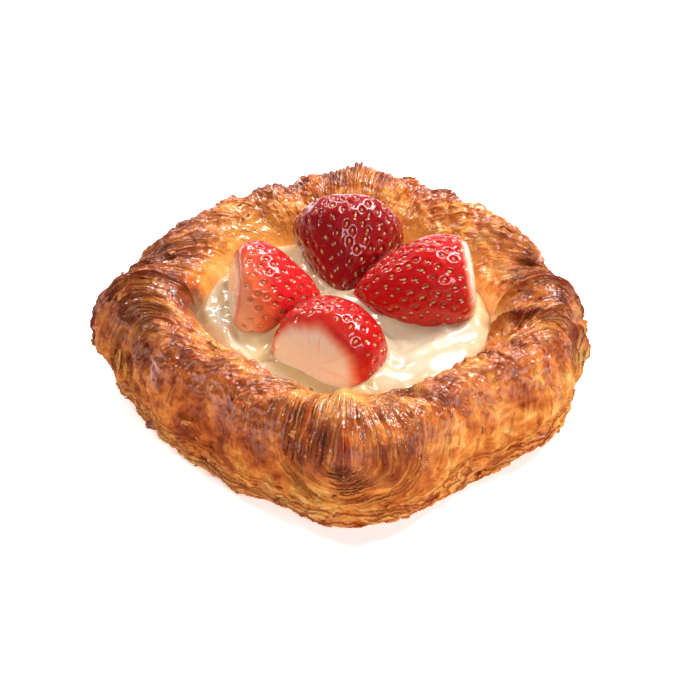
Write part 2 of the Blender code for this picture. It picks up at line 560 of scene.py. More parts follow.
@dataclass(frozen=True)
class BerryFinish:
    """A strawberry's skin and hulled face, wet with glaze, with painted shade in its seed pits."""

    ripeness: Ripeness
    skins: dict[Ripeness, Stops] = field(
        default_factory=lambda: {
            Ripeness.DEEP: ((0.0, (0.70, 0.25, 0.16)), (0.3, (0.48, 0.012, 0.014)), (0.8, (0.28, 0.002, 0.004))),
            Ripeness.RED: ((0.0, (0.86, 0.50, 0.34)), (0.3, (0.74, 0.05, 0.025)), (0.8, (0.52, 0.004, 0.004))),
            Ripeness.BLUSHED: ((0.0, (0.84, 0.44, 0.25)), (0.35, (0.80, 0.17, 0.05)), (0.8, (0.66, 0.012, 0.014))),
        }
    )
    flesh: Colour = (0.82, 0.20, 0.11)
    flesh_pale: Colour = (0.92, 0.75, 0.58)

    def make(self) -> bpy.types.Material:
        """Builds the material.

        Returns:
            The finished material.
        """
        bench = Bench(f"strawberry_{self.ripeness.value}")
        place = bench.place()
        cloud = bench.noise(place, 160.0, 3.0, 0.55)
        redness = bench.math("ADD", bench.fact("red"), bench.sway(cloud, 0.10), clamp=True)
        skin = bench.ramp(redness, self.skins[self.ripeness])
        # Painted shade: the skin is darkened in the seeds' pits.
        pit = bench.blend(bench.math("MULTIPLY", bench.fact("pit"), 0.5), skin, (0.55, 0.25, 0.2), "MULTIPLY")
        rays = bench.noise(bench.fact_vector("ray"), 1.0, 3.0, 0.6)
        cut = bench.math("ADD", bench.fact("cut"), bench.sway(rays, 0.16))
        flesh = bench.blend(bench.spread(cut, 0.35, 1.0), self.flesh, self.flesh_pale)
        flesh = bench.blend(bench.spread(rays, 0.5, 0.75, 0.0, 0.35), flesh, self.flesh)
        colour = bench.blend(bench.spread(cut, 0.12, 0.5), pit, flesh)
        bench.set(Base_Color=colour, Roughness=0.34, Specular_IOR_Level=0.15)
        bench.set(Normal=bench.bump(bench.noise(place, 1400.0, 2.0), 0.00005, 0.5))
        bench.set(Coat_Weight=1.0, Coat_Roughness=0.03, Coat_IOR=1.4)
        bench.set(Coat_Normal=bench.bump(bench.noise(place, 380.0, 2.0), 0.00018, 0.8))
        bench.set(Subsurface_Weight=0.18, Subsurface_Radius=(0.003, 0.0008, 0.0006), Subsurface_Scale=1.0)
        return bench.material


@dataclass(frozen=True)
class SeedFinish:
    """A strawberry's seeds: straw yellow to reddish brown."""

    def make(self) -> bpy.types.Material:
        """Builds the material.

        Returns:
            The finished material.
        """
        bench = Bench("strawberry_seed")
        tone = bench.noise(bench.place(), 330.0, 1.0)
        stops = ((0.36, (0.34, 0.09, 0.02)), (0.5, (0.55, 0.26, 0.05)), (0.64, (0.70, 0.42, 0.10)))
        bench.set(Base_Color=bench.ramp(tone, stops), Roughness=0.35, Coat_Weight=0.8, Coat_Roughness=0.05)
        return bench.material


@dataclass(frozen=True)
class FlakeFinish:
    """A loose flake of crust: golden to brown, with a little glaze."""

    def make(self) -> bpy.types.Material:
        """Builds the material.

        Returns:
            The finished material.
        """
        bench = Bench("crust_flake")
        place = bench.place()
        tone = bench.math("ADD", bench.noise(place, 150.0, 2.0), bench.sway(bench.noise(place, 900.0, 2.0), 0.2))
        stops = ((0.34, (0.22, 0.035, 0.007)), (0.52, (0.54, 0.14, 0.025)), (0.7, (0.76, 0.32, 0.085)))
        bench.set(Base_Color=bench.ramp(tone, stops), Roughness=0.5, Specular_IOR_Level=0.2)
        bench.set(Coat_Weight=0.5, Coat_Roughness=0.15, Normal=bench.bump(tone, 0.0002, 0.8))
        return bench.material


@dataclass(frozen=True)
class FloorFinish:
    """A plain pale studio floor."""

    colour: Colour = (0.88, 0.88, 0.88)
    glow: float = 0.52

    def make(self) -> bpy.types.Material:
        """Builds the material.

        Returns:
            The finished material.
        """
        bench = Bench("studio_floor")
        bench.set(Base_Color=(*self.colour, 1.0), Roughness=0.9, Specular_IOR_Level=0.1)
        bench.set(Emission_Color=(1.0, 1.0, 1.0, 1.0), Emission_Strength=self.glow)
        return bench.material


# ---------------------------------------------------------------------------------------------------------------
# Small scattered shapes
# ---------------------------------------------------------------------------------------------------------------


class Morsel(Enum):
    """The small shapes that are scattered: a strawberry's seed, or a curled flake of crust."""

    SEED = "seed"
    FLAKE = "flake"


@dataclass
class Scatter:
    """Geometry Nodes that set a small shape on every point of a mesh, standing out of it and lying one way."""

    morsel: Morsel = Morsel.SEED
    length: float = 1.2
    width: float = 0.68
    thickness: float = 0.5
    smallest: float = 0.82
    largest: float = 1.12
    seed: int = 5

    def tree(self, material: bpy.types.Material) -> bpy.types.NodeTree:
        """Builds the node tree.

        Args:
            material: The small shapes' finish.

        Returns:
            The tree.
        """
        tree = bpy.data.node_groups.new(self.morsel.value + "_scatter", "GeometryNodeTree")
        face, links = tree.interface, tree.links
        face.new_socket("Geometry", in_out="INPUT", socket_type="NodeSocketGeometry")
        for name in ("Length", "Width", "Thickness"):
            face.new_socket(name, in_out="INPUT", socket_type="NodeSocketFloat")
        face.new_socket("Random Seed", in_out="INPUT", socket_type="NodeSocketInt")
        face.new_socket("Geometry", in_out="OUTPUT", socket_type="NodeSocketGeometry")

        def add(kind: str, **settings: object) -> bpy.types.Node:
            """Adds a node with its own properties set."""
            node = tree.nodes.new(kind)
            for key, value in settings.items():
                setattr(node, key, value)
            return node

        given, result = add("NodeGroupInput"), add("NodeGroupOutput")
        if self.morsel is Morsel.SEED:
            ball = add("GeometryNodeMeshUVSphere")
            ball.inputs["Radius"].default_value = 0.5
            ball.inputs["Segments"].default_value = 8
            ball.inputs["Rings"].default_value = 5
            blank = ball.outputs["Mesh"]
        else:
            plate = add("GeometryNodeMeshCube")
            for name, count in (("Vertices X", 4), ("Vertices Y", 5), ("Vertices Z", 2)):
                plate.inputs[name].default_value = count
            crumple = add("ShaderNodeTexNoise")
            crumple.inputs["Scale"].default_value = 1.7
            centre = add("ShaderNodeVectorMath", operation="SUBTRACT")
            centre.inputs[1].default_value = (0.5, 0.5, 0.5)
            links.new(crumple.outputs["Color"], centre.inputs[0])
            bend = add("ShaderNodeVectorMath", operation="MULTIPLY")
            bend.inputs[1].default_value = (1.1, 1.1, 7.0)
            links.new(centre.outputs[0], bend.inputs[0])
            curl = add("GeometryNodeSetPosition")
            links.new(plate.outputs["Mesh"], curl.inputs["Geometry"])
            links.new(bend.outputs[0], curl.inputs["Offset"])
            blank = curl.outputs["Geometry"]
        size = add("ShaderNodeCombineXYZ")
        for name, axis in (("Width", "X"), ("Length", "Y"), ("Thickness", "Z")):
            links.new(given.outputs[name], size.inputs[axis])
        shape = add("GeometryNodeTransform")
        links.new(blank, shape.inputs["Geometry"])
        links.new(size.outputs[0], shape.inputs["Scale"])
        out_of, along = (add("GeometryNodeInputNamedAttribute", data_type="FLOAT_VECTOR") for _ in range(2))
        out_of.inputs["Name"].default_value = "out_of"
        along.inputs["Name"].default_value = "lying"
        stand = add("FunctionNodeAlignRotationToVector", axis="Z")
        links.new(out_of.outputs["Attribute"], stand.inputs["Vector"])
        spin = add("FunctionNodeAlignRotationToVector", axis="Y", pivot_axis="Z")
        links.new(stand.outputs[0], spin.inputs["Rotation"])
        links.new(along.outputs["Attribute"], spin.inputs["Vector"])
        vary = add("FunctionNodeRandomValue", data_type="FLOAT")
        vary.inputs[2].default_value = self.smallest
        vary.inputs[3].default_value = self.largest
        links.new(given.outputs["Random Seed"], vary.inputs["Seed"])
        copies = add("GeometryNodeInstanceOnPoints")
        links.new(given.outputs["Geometry"], copies.inputs["Points"])
        links.new(shape.outputs["Geometry"], copies.inputs["Instance"])
        links.new(spin.outputs[0], copies.inputs["Rotation"])
        links.new(vary.outputs[1], copies.inputs["Scale"])
        real = add("GeometryNodeRealizeInstances")
        smooth = add("GeometryNodeSetShadeSmooth")
        dress = add("GeometryNodeSetMaterial")
        dress.inputs["Material"].default_value = material
        for before, after in ((copies, real), (real, smooth), (smooth, dress), (dress, result)):
            links.new(before.outputs[0], after.inputs[0])
        return tree

    def scatter(
        self, name: str, points: np.ndarray, out_of: np.ndarray, lying: np.ndarray, tree: bpy.types.NodeTree
    ) -> bpy.types.Object:
        """Sets the small shapes on their points.

        Args:
            name: The new piece's name.
            points: Their places in millimetres.
            out_of: The way out of the skin at each.
            lying: The way each lies.
            tree: The node tree.

        Returns:
            All of them, as one plain mesh.
        """
        mesh = bpy.data.meshes.new(name)
        mesh.from_pydata((points * MM).tolist(), [], [])
        for fact, values in (("out_of", out_of), ("lying", lying)):
            stored = mesh.attributes.new(fact, "FLOAT_VECTOR", "POINT")
            stored.data.foreach_set("vector", values.astype(np.float32).ravel())
        piece = bpy.data.objects.new(name, mesh)
        bpy.context.scene.collection.objects.link(piece)
        modifier = piece.modifiers.new("scatter", "NODES")
        modifier.node_group = tree
        wanted = {
            "Length": self.length * MM,
            "Width": self.width * MM,
            "Thickness": self.thickness * MM,
            "Random Seed": self.seed,
        }
        for item in tree.interface.items_tree:
            if item.item_type == "SOCKET" and item.in_out == "INPUT" and item.name in wanted:
                modifier[item.identifier] = wanted[item.name]
        return plain_copy(piece)


# ---------------------------------------------------------------------------------------------------------------
# The case
# ---------------------------------------------------------------------------------------------------------------


@dataclass(frozen=True)
class PlanRow:
    """One direction of the case's plan: how far its outline and its well reach, and how high its crest is."""

    degrees: float
    outline: float
    well: float
    crest: float


@dataclass(frozen=True)
class Fold:
    """A fold across the rim: where it runs, how deep and wide it is, and how far down the wall it goes.

    Attributes:
        inner: Its direction from the middle, in degrees, at the custard.
        outer: Its direction where it ends on the wall.
        reach: How far it runs from the custard's edge, along the surface.
        depth: How deep its narrow cut is.
        width: How wide the cut is.
        valley: How deep the broad valley along it is.
        breadth: How broad that valley is.
        fan: How far out the layers nest round its end, or nought where they don't.
        cut_from: How far over the rim its narrow cut starts.
        flare: How much the nested layers open out on their way down, or close in where it is below nought.
    """

    inner: float
    outer: float
    reach: float
    depth: float
    width: float
    valley: float
    breadth: float
    fan: float = 0.0
    cut_from: float = 8.0
    flare: float = 0.0


@dataclass(frozen=True)
class Spot:
    """A place on the rim that differs: its direction, its distance over the rim, its size and how much."""

    degrees: float
    along: float
    size: float
    amount: float


@dataclass
class PastryCase:
    """The laminated case: four flaps of dough that meet at folds, as one surface cut into a piece for each."""

    plan: tuple[PlanRow, ...] = (
        PlanRow(-20.0, 56.0, 34.6, 29.2),
        PlanRow(3.0, 57.2, 35.0, 29.0),
        PlanRow(30.0, 53.0, 34.8, 30.2),
        PlanRow(56.0, 53.2, 34.4, 31.2),
        PlanRow(84.0, 57.0, 34.6, 31.4),
        PlanRow(122.0, 51.6, 34.4, 30.8),
        PlanRow(148.0, 53.2, 34.2, 29.8),
        PlanRow(175.0, 55.8, 34.0, 28.8),
        PlanRow(205.0, 49.2, 30.0, 28.8),
        PlanRow(225.0, 47.2, 28.8, 29.2),
        PlanRow(245.0, 49.6, 29.4, 29.0),
        PlanRow(275.0, 57.0, 31.0, 28.6),
        PlanRow(311.0, 49.6, 33.2, 29.0),
    )
    # The rim's section from the custard's edge over the crest to the base: the share of the way from the well
    # to the outline, and the share of the crest's height.
    section: tuple[tuple[float, float], ...] = (
        (-0.06, 0.62),
        (0.0, 0.70),
        (0.1, 0.82),
        (0.26, 0.92),
        (0.44, 0.985),
        (0.6, 1.0),
        (0.75, 0.95),
        (0.87, 0.82),
        (0.955, 0.64),
        (0.995, 0.45),
        (0.985, 0.29),
        (0.93, 0.12),
        (0.85, 0.03),
        (0.77, 0.0),
    )
    folds: tuple[Fold, ...] = (
        Fold(271.0, 271.0, 29.0, 2.0, 0.9, 2.9, 5.0, 25.0, 20.0, 0.42),
        Fold(-0.7, 4.4, 33.0, 1.7, 1.1, 1.4, 4.0, 24.0, 3.0, -0.45),
        Fold(85.5, 84.5, 30.0, 0.8, 1.2, 1.2, 4.5, 10.0, 10.0, 0.2),
        Fold(177.0, 177.0, 36.0, 1.7, 1.3, 3.0, 6.0, 24.0, 3.0, -0.45),
        Fold(-19.7, -6.5, 34.0, 1.8, 1.0, 1.4, 3.5, 0.0, 3.0),
        Fold(214.0, 208.0, 24.0, 0.0, 1.2, 0.9, 4.5),
        Fold(236.0, 228.0, 26.0, 0.3, 1.2, 1.1, 4.0),
        Fold(314.0, 326.0, 20.0, 0.7, 1.0, 1.3, 4.0),
        Fold(34.0, 30.0, 24.0, 0.2, 1.2, 1.0, 5.0),
        Fold(60.0, 56.0, 20.0, 0.3, 1.2, 1.0, 4.5),
        Fold(112.0, 116.0, 22.0, 0.3, 1.2, 1.2, 5.0),
        Fold(140.0, 146.0, 24.0, 0.4, 1.2, 1.2, 4.5),
    )
    # Darker places over the rim: mostly browning, but those inside the left rim by the custard (168° to 180°) are
    # partly painted shade in that hollow, and the one low on the left wall (225°) is painted shade.
    scorch_and_shade_spots: tuple[Spot, ...] = (
        Spot(262.0, 22.0, 5.5, 0.13),
        Spot(281.0, 21.0, 5.0, 0.12),
        Spot(250.0, 21.0, 5.0, 0.22),
        Spot(237.0, 17.0, 5.0, 0.22),
        Spot(271.0, 31.0, 4.0, 0.15),
        Spot(212.0, 19.0, 5.0, 0.18),
        Spot(176.0, 27.0, 5.0, 0.30),
        Spot(186.0, 22.0, 4.0, 0.22),
        Spot(140.0, 20.0, 4.5, 0.35),
        Spot(104.0, 24.0, 5.0, 0.25),
        Spot(60.0, 20.0, 5.0, 0.15),
        Spot(5.0, 30.0, 4.0, 0.28),
        Spot(-6.0, 30.0, 3.5, 0.20),
        Spot(335.0, 20.0, 5.0, 0.15),
        Spot(314.0, 9.0, 2.0, 0.35),
        Spot(177.0, 9.0, 6.0, 0.45),
        Spot(180.0, 3.0, 8.0, 0.40),
        Spot(168.0, 1.0, 6.0, 0.65),
        Spot(115.0, 15.0, 15.0, 0.15),
        Spot(160.0, 16.0, 9.0, 0.24),
        Spot(205.0, 33.0, 8.0, 0.12),
        Spot(238.0, 33.0, 9.0, 0.14),
        Spot(90.0, 24.0, 12.0, 0.22),
        Spot(271.0, 26.0, 5.0, 0.12),
        Spot(225.0, 34.0, 9.0, 0.12),
        Spot(195.0, 26.0, 8.0, 0.12),
        Spot(145.0, 16.0, 8.0, 0.15),
        Spot(90.0, 16.0, 7.0, 0.15),
        Spot(222.0, 5.0, 2.2, 0.45),
        Spot(225.0, 43.0, 12.0, 0.12),
        Spot(275.0, 46.0, 12.0, 0.06),
    )
    # Paler places: the saddle at the front fold (271°) is paler dough; those on the right side (305° round to 20°) are
    # partly paler dough and partly painted light.
    pale_and_lit_spots: tuple[Spot, ...] = (
        Spot(271.0, 12.0, 5.0, -0.30),
        Spot(15.0, 24.0, 9.0, -0.14),
        Spot(350.0, 38.0, 11.0, -0.15),
        Spot(20.0, 40.0, 10.0, -0.12),
        Spot(305.0, 34.0, 10.0, -0.16),
        Spot(330.0, 32.0, 10.0, -0.14),
    )
    soaks: tuple[Spot, ...] = (
        Spot(128.0, 5.0, 9.0, 0.75),
        Spot(112.0, 4.0, 7.0, 0.6),
        Spot(62.0, 4.0, 6.0, 0.6),
        Spot(222.0, 4.0, 5.0, 0.7),
        Spot(271.0, 9.0, 7.0, 0.85),
        Spot(300.0, 3.0, 4.0, 0.7),
        Spot(35.0, 4.0, 6.0, 0.5),
    )
    flap_edges: tuple[float, ...] = (2.0, 85.0, 178.0, 271.0)
    flap_names: tuple[str, ...] = ("crust_back_right", "crust_back_left", "crust_front_left", "crust_front_right")
    pitch: float = 0.234
    floor_height: float = 9.5
    flake_count: int = 260
    finish: CrustFinish = field(default_factory=CrustFinish)

    def ring_angles(self) -> np.ndarray:
        """The columns' directions, evenly spaced along the outline, starting at the first flap's edge."""
        fine = np.linspace(0, TURN, 2881) + math.radians(self.flap_edges[0])
        outline = self.around(fine)[0]
        run = arc_length(np.stack([outline * np.cos(fine), outline * np.sin(fine)], axis=1))
        columns = int(run[-1] / self.pitch)
        self.girth = run[-1]
        self.run_table = (fine, run)
        return np.interp(np.arange(columns) * run[-1] / columns, run, fine)

    def around(self, angles: np.ndarray) -> tuple[np.ndarray, np.ndarray, np.ndarray]:
        """The outline, well and crest at some angles, eased from row to row.

        Args:
            angles: Directions in radians.

        Returns:
            The three reaches in millimetres, an array each.
        """
        degrees = np.degrees(angles) % 360.0
        rows = [(row.degrees % 360.0, row) for row in self.plan]
        rows.sort(key=lambda pair: pair[0])
        turn = [rows[-1][0] - 360.0, *(pair[0] for pair in rows), rows[0][0] + 360.0]
        around = [rows[-1][1], *(pair[1] for pair in rows), rows[0][1]]
        at = np.clip(np.searchsorted(turn, degrees, side="right") - 1, 0, len(turn) - 2)
        starts, ends = np.array(turn)[at], np.array(turn)[at + 1]
        share = (1 - np.cos(math.pi * (degrees - starts) / (ends - starts))) / 2
        found = []
        for name in ("outline", "well", "crest"):
            values = np.array([getattr(row, name) for row in around])
            found.append(values[at] + (values[at + 1] - values[at]) * share)
        return found[0], found[1], found[2]

    def place_along(self, degrees: float) -> float:
        """How far along the outline a direction is, from the first flap's edge."""
        fine, run = self.run_table
        angle = math.radians((degrees - self.flap_edges[0]) % 360.0 + self.flap_edges[0])
        return float(np.interp(angle, fine, run))

    def section_rows(self) -> tuple[np.ndarray, np.ndarray, np.ndarray]:
        """The rim's rows from the custard's edge to the base: shares of reach and height, and distance along."""
        curve = smooth_curve(np.array(self.section), 24)
        real = curve * np.array([22.5, 30.0])
        run = arc_length(real)
        rows = int(run[-1] / self.pitch)
        along = np.linspace(0, run[-1], rows)
        start = float(np.interp(0.0, curve[:60, 0], run[:60]))
        return np.interp(along, run, curve[:, 0]), np.interp(along, run, curve[:, 1]), along - start

    def apart(self, run: np.ndarray, at: np.ndarray | float) -> np.ndarray:
        """The signed distance round the rim from a place, the short way."""
        return (run - at + self.girth / 2) % self.girth - self.girth / 2

    def form(self) -> None:
        """Works out the surface: its smooth form, then its folds, layers and flakes, and what colours it."""
        angles = self.ring_angles()
        share, height, along = self.section_rows()
        outline, well, crest = self.around(angles)
        reach = well[None] + share[:, None] * (outline - well)[None]
        base = np.stack(
            [reach * np.cos(angles)[None], reach * np.sin(angles)[None], height[:, None] * crest[None]], axis=-1
        )
        run = (np.arange(len(angles)) * self.girth / len(angles))[None] + 0 * along[:, None]
        over = along[:, None] + 0 * run
        full = along[-1]
        normals = surface_normals(base, True)
        swell = Noise(11)
        form = 1.2 * swell.at(base, 15.0) + 0.55 * swell.at(base + 40, 7.0)
        away = np.full(over.shape, 1e3)
        arc = over.copy()
        crease, sunk, fanned = np.zeros(over.shape), np.zeros(over.shape), np.zeros(over.shape)
        for fold in self.folds:
            start, end = self.place_along(fold.inner), self.place_along(fold.outer)
            lean = self.apart(np.float64(end), start)
            line = start + lean * np.clip(over / fold.reach, 0, 1)
            across = self.apart(run, line)
            beyond = np.maximum(over - fold.reach, 0)
            gap = np.hypot(across, beyond * 1.1)
            open_to = ease(fold.cut_from - 2, fold.cut_from + 6, over)
            open_to *= 1 - 0.5 * ease(fold.reach - 4, fold.reach, over)
            sunk += fold.valley * bell(gap, fold.breadth) * ease(0, 10, over)
            cut = bell(gap, fold.width) * open_to
            sunk += fold.depth * cut
            crease = np.maximum(crease, cut * min(1.0, fold.depth / 2.0))
            if fold.fan:
                flared = np.hypot(across / (1 + fold.flare * (2 * ease(2, 22, over) - 1)), beyond * 1.1)
                nearer = flared < away
                turn = np.arctan2(beyond * 1.1, np.maximum(np.abs(across), 0.01))
                arc = np.where(nearer, np.minimum(over, fold.reach) + 14.0 * turn, arc)
                away = np.minimum(away, flared)
                fanned = np.maximum(fanned, bell(gap, fold.fan))
        bent = away + 2.6 * swell.at(base + 11, 14.0) + 0.9 * swell.at(base + 15, 5.0)
        form += 1.5 * swell(bent / 6.5, arc / 30.0, 0.6) * ease(3, 13, over)
        form *= ease(-1, 9, over) * (1 - 0.75 * ease(full - 18, full - 5, over))
        form -= sunk
        smooth = base + normals * form[..., None]
        patches = Noise(33)
        soaked = np.zeros(over.shape)
        for spot in self.soaks:
            gap = np.hypot(self.apart(run, self.place_along(spot.degrees)) * 0.5, over - spot.along)
            ragged = np.maximum(gap + 2.0 * patches.at(smooth, 6.0), 0)
            soaked = np.maximum(soaked, spot.amount * bell(ragged, spot.size))
        self.soaked = np.clip(soaked + 0.3 * bell(over, 3.0), 0, 1)
        self.layer(smooth, run, over, away, arc, crease, form, fanned, full)
        self.columns = len(angles)
        self.along = along

    def layer(
        self,
        smooth: np.ndarray,
        run: np.ndarray,
        over: np.ndarray,
        away: np.ndarray,
        arc: np.ndarray,
        crease: np.ndarray,
        form: np.ndarray,
        fanned: np.ndarray,
        full: float,
    ) -> None:
        """Adds the layers' edges, the flaky base and the blistered top to the smooth form, and works out the painted
        shade in their crevices.

        Args:
            smooth: The form's points, by row and column.
            run: Each point's distance round the rim.
            over: Each point's distance over the rim from the custard.
            away: How far each point is from the nearest fan's line.
            arc: How far each point is along its layer.
            crease: How deep in a fold each point is, from 0 to 1.
            form: How far each point of the form stands out from the plain section.
            fanned: How much each point's layers are spread open, from 0 to 1.
            full: The distance over the rim to the base.
        """
        normals = surface_normals(smooth, True)
        first, second, third = Noise(21), Noise(22), Noise(23)
        warp = 1.7 * first.at(smooth, 14.0) + 0.35 * second.at(smooth, 5.0) + 0.12 * third.at(smooth, 1.9)
        across = away + warp
        wall = ease(full - 16, full - 8, over)
        shoulder = ease(2.5, 11, over) * (1 - wall)
        broken = 0.45 + 0.55 * ease(-0.3, 0.3, first.at(smooth + 90, 7.0))
        opened = np.clip(0.12 + 1.15 * fanned, 0, 1) * broken * shoulder
        opened *= ease(0.0, 0.4, away) * (1 - 0.8 * self.soaked)
        leaf = 1 - np.abs(first(across / 2.3, arc / 22.0, 0.3)) * 1.7
        turn = across / 1.12 + 0.8 * first(across / 5.0, arc / 20.0, 7.7) + 0.22 * third(across / 1.6, arc / 6.0, 3.0)
        saw = turn - np.floor(turn)
        saw = np.where(saw < 0.8, saw / 0.8, (1 - saw) / 0.2)
        present = np.maximum(ease(-0.6, -0.05, second(across / 1.7, arc / 9.0, 8.0)), bell(away, 4.0))
        thread = across / 0.8 + 0.9 * second(across / 2.6, arc / 9.0, 4.0) + 0.3 * third(across / 1.0, arc / 3.2, 6.0)
        lifted = opened * (1.1 * (leaf - 0.6) + 0.85 * present * (saw - 0.5))
        lifted *= 0.35 + 0.65 * np.maximum(ease(8, 18, over), ease(2, 7, away))
        blister = np.maximum(third.at(smooth + 50, 2.1), 0) ** 0.8
        pocked = 0.5 - np.abs(second(across / 1.2, arc / 2.6, 5.0))
        grit = third.at(smooth + 57, 0.95)
        bubbly = (1 - fanned * 0.8) * ease(1, 7, over) * (1 - 0.7 * wall) * (1 - 0.75 * self.soaked)
        rough = bubbly * (1.0 * blister + 0.7 * pocked + 0.75 * first.at(smooth + 30, 3.6))
        rough += 0.10 * grit * (shoulder + wall)
        level = over + 1.3 * second.at(smooth + 20, 9.0) + 0.5 * third.at(smooth + 20, 3.0)
        plates = 2.6 * first(level / 2.6, run / 12.0, 2.0) + 0.8 * second(level / 1.2, run / 4.0, 5.0)
        peeled = np.floor(plates) + ease(0.0, 0.10, plates - np.floor(plates))
        fine_plates = 2.0 * third(level / 1.3, run / 4.5, 7.0)
        fine_peeled = np.floor(fine_plates) + ease(0.0, 0.14, fine_plates - np.floor(fine_plates))
        bed = np.minimum(np.abs(first(level / 1.3, run / 13.0, 12.0)), 0.4) - 0.24
        skirt = wall * (1 - ease(full - 2.5, full - 0.4, over))
        torn = skirt * (0.55 * peeled + 0.22 * fine_peeled + 1.0 * bed)
        relief = lifted + torn + rough
        points = smooth + normals * relief[..., None]
        points[..., 2] = np.maximum(points[..., 2], 0.0)
        self.points = points
        # Painted shade: darkens the crevices between layers, the folds' cuts, the blisters' pocks and the seams between
        # the base's sheets.
        self.gap = np.clip(0.8 * opened * (1 - ease(0.3, 0.62, leaf)) + 0.6 * crease, 0, 1)
        self.gap = np.maximum(self.gap, 0.6 * bubbly * (1 - ease(0.0, 0.2, pocked)))
        self.gap = np.maximum(self.gap, 0.8 * skirt * (1 - ease(-0.24, -0.15, bed)))
        self.strand, self.thread, self.sheet = turn, thread, plates
        self.opened, self.torn = opened * present, skirt
        tint = 0.10 * np.sin(peeled * 2.4) + 0.05 * np.sin(fine_peeled * 2.1 + 1)
        self.colour_in(points, run, over, form + relief, crease, wall, tint * skirt, full)

    def colour_in(
        self,
        points: np.ndarray,
        run: np.ndarray,
        over: np.ndarray,
        relief: np.ndarray,
        crease: np.ndarray,
        wall: np.ndarray,
        tint: np.ndarray,
        full: float,
    ) -> None:
        """Works out how browned, how soaked, how dry and how glazed each point is; the browning also carries painted
        shade in the folds and on the left side, and painted light on the right side.

        Args:
            points: The finished surface, by row and column.
            run: Each point's distance round the rim.
            over: Each point's distance over the rim from the custard.
            relief: How far each point stands out from the smooth form.
            crease: How deep in a fold each point is.
            wall: The lower wall's share at each point.
            tint: How the base's torn sheets differ.
            full: The distance over the rim to the base.
        """
        patches, fine = Noise(31), Noise(32)
        bake = 0.35 + 0.17 * bell(over - 21.0, 10.0) - 0.02 * wall - 0.12 * bell(over, 6.0)
        bake += 0.20 * patches.at(points, 12.0) + 0.13 * patches.at(points + 50, 5.0) + 0.10 * fine.at(points, 2.2)
        bake += tint + 0.04 * relief * (1 - wall)
        spots = (*self.scorch_and_shade_spots, *self.pale_and_lit_spots)
        for spot in spots:
            gap = np.hypot(self.apart(run, self.place_along(spot.degrees)), over - spot.along)
            bake += spot.amount * bell(gap + 2.2 * fine.at(points, 3.0), spot.size)
        # Painted shade: the folds' cuts are browned darker.
        bake += 0.10 * crease * (1 - wall)
        self.bake = np.clip(bake, 0.02, 1.0)
        self.dry = ease(full - 13, full - 5, over) * ease(-0.5, 0.3, patches.at(points + 60, 6.0))
        self.glaze = 1 - ease(full - 32, full - 16, over + 5.0 * patches.at(points + 80, 8.0))

    def flap(self, number: int, material: bpy.types.Material) -> bpy.types.Object:
        """Cuts one flap out of the ring and closes it at its folds, its base and the well's floor.

        Args:
            number: Which flap, from the one that starts at the first edge.
            material: The crust's finish.

        Returns:
            The flap's object.
        """
        starts = [int(round(self.place_along(edge) / self.girth * self.columns)) for edge in self.flap_edges]
        starts.append(self.columns)
        starts[0] = 0
        picked = np.arange(starts[number], starts[number + 1] + 1) % self.columns
        rim = self.points[:, picked]
        columns = rim.shape[1]
        lip = rim[0]
        ray = lip[:, :2] / np.linalg.norm(lip[:, :2], axis=1, keepdims=True)
        reach = np.linalg.norm(lip[:, :2], axis=1)
        well_rows = []
        for share, height in ((0.5, 9.5), (0.78, 10.5), (0.93, 14.5)):
            flat = ray * (reach * share)[:, None]
            well_rows.append(np.concatenate([flat, np.full((columns, 1), height)], axis=1))
        edge = rim[-1].copy()
        edge[:, 2] = 0.0
        base_rows = []
        for share in (0.97, 0.6, 0.25):
            base_rows.append(np.concatenate([edge[:, :2] * share, np.zeros((columns, 1))], axis=1))
        grid = np.concatenate([np.stack(well_rows), rim, edge[None], np.stack(base_rows)])
        before, after = len(well_rows), 1 + len(base_rows)

        def padded(values: np.ndarray) -> np.ndarray:
            """A fact carried on over the rows that aren't seen."""
            part = values[:, picked]
            return np.concatenate([np.repeat(part[:1], before, 0), part, np.repeat(part[-1:], after, 0)])

        names = ("bake", "soaked", "dry", "glaze", "gap", "strand", "thread", "sheet", "opened", "torn")
        facts = {name: getattr(self, name) for name in names}
        facts = {name: padded(values) for name, values in facts.items()}
        total = grid.shape[0]
        index = np.arange(total * columns).reshape(total, columns)
        quads = np.stack([index[1:, :-1], index[1:, 1:], index[:-1, 1:], index[:-1, :-1]], axis=-1).reshape(-1, 4)
        far_u = np.linspace(0.005, 0.955, columns)
        spans = np.linalg.norm(np.diff(grid[:, columns // 2], axis=0), axis=1)
        spans[:before] *= 0.3
        spans[-after + 1 :] *= 0.3
        level = np.concatenate([[0.0], np.cumsum(spans)])
        level = 0.03 + 0.94 * level / level[-1]
        left, right = far_u[:-1][None] + 0 * level[1:, None], far_u[1:][None] + 0 * level[1:, None]
        low, high = level[:-1, None] + 0 * left, level[1:, None] + 0 * left
        quad_uv = np.stack([left, high, right, high, right, low, left, low], axis=-1).reshape(-1, 2)
        well_pole, base_pole = total * columns, total * columns + 1
        well_fan = np.stack([index[0, :-1], index[0, 1:], np.full(columns - 1, well_pole)], axis=-1)
        base_fan = np.stack([index[-1, 1:], index[-1, :-1], np.full(columns - 1, base_pole)], axis=-1)
        mid_u = (far_u[:-1] + far_u[1:]) / 2
        at_low, at_high = np.full(columns - 1, level[0]), np.full(columns - 1, level[-1])
        well_uv = np.stack([far_u[:-1], at_low, far_u[1:], at_low, mid_u, 0 * mid_u + 0.005], axis=-1).reshape(-1, 2)
        base_uv = np.stack([far_u[1:], at_high, far_u[:-1], at_high, mid_u, 0 * mid_u + 0.995], axis=-1).reshape(-1, 2)
        faces, maps = [quads, well_fan, base_fan], [quad_uv, well_uv, base_uv]
        heart_points = []
        for side, column in enumerate((0, columns - 1)):
            loop = np.concatenate([[well_pole], index[:, column], [base_pole]])
            heart = total * columns + 2 + side
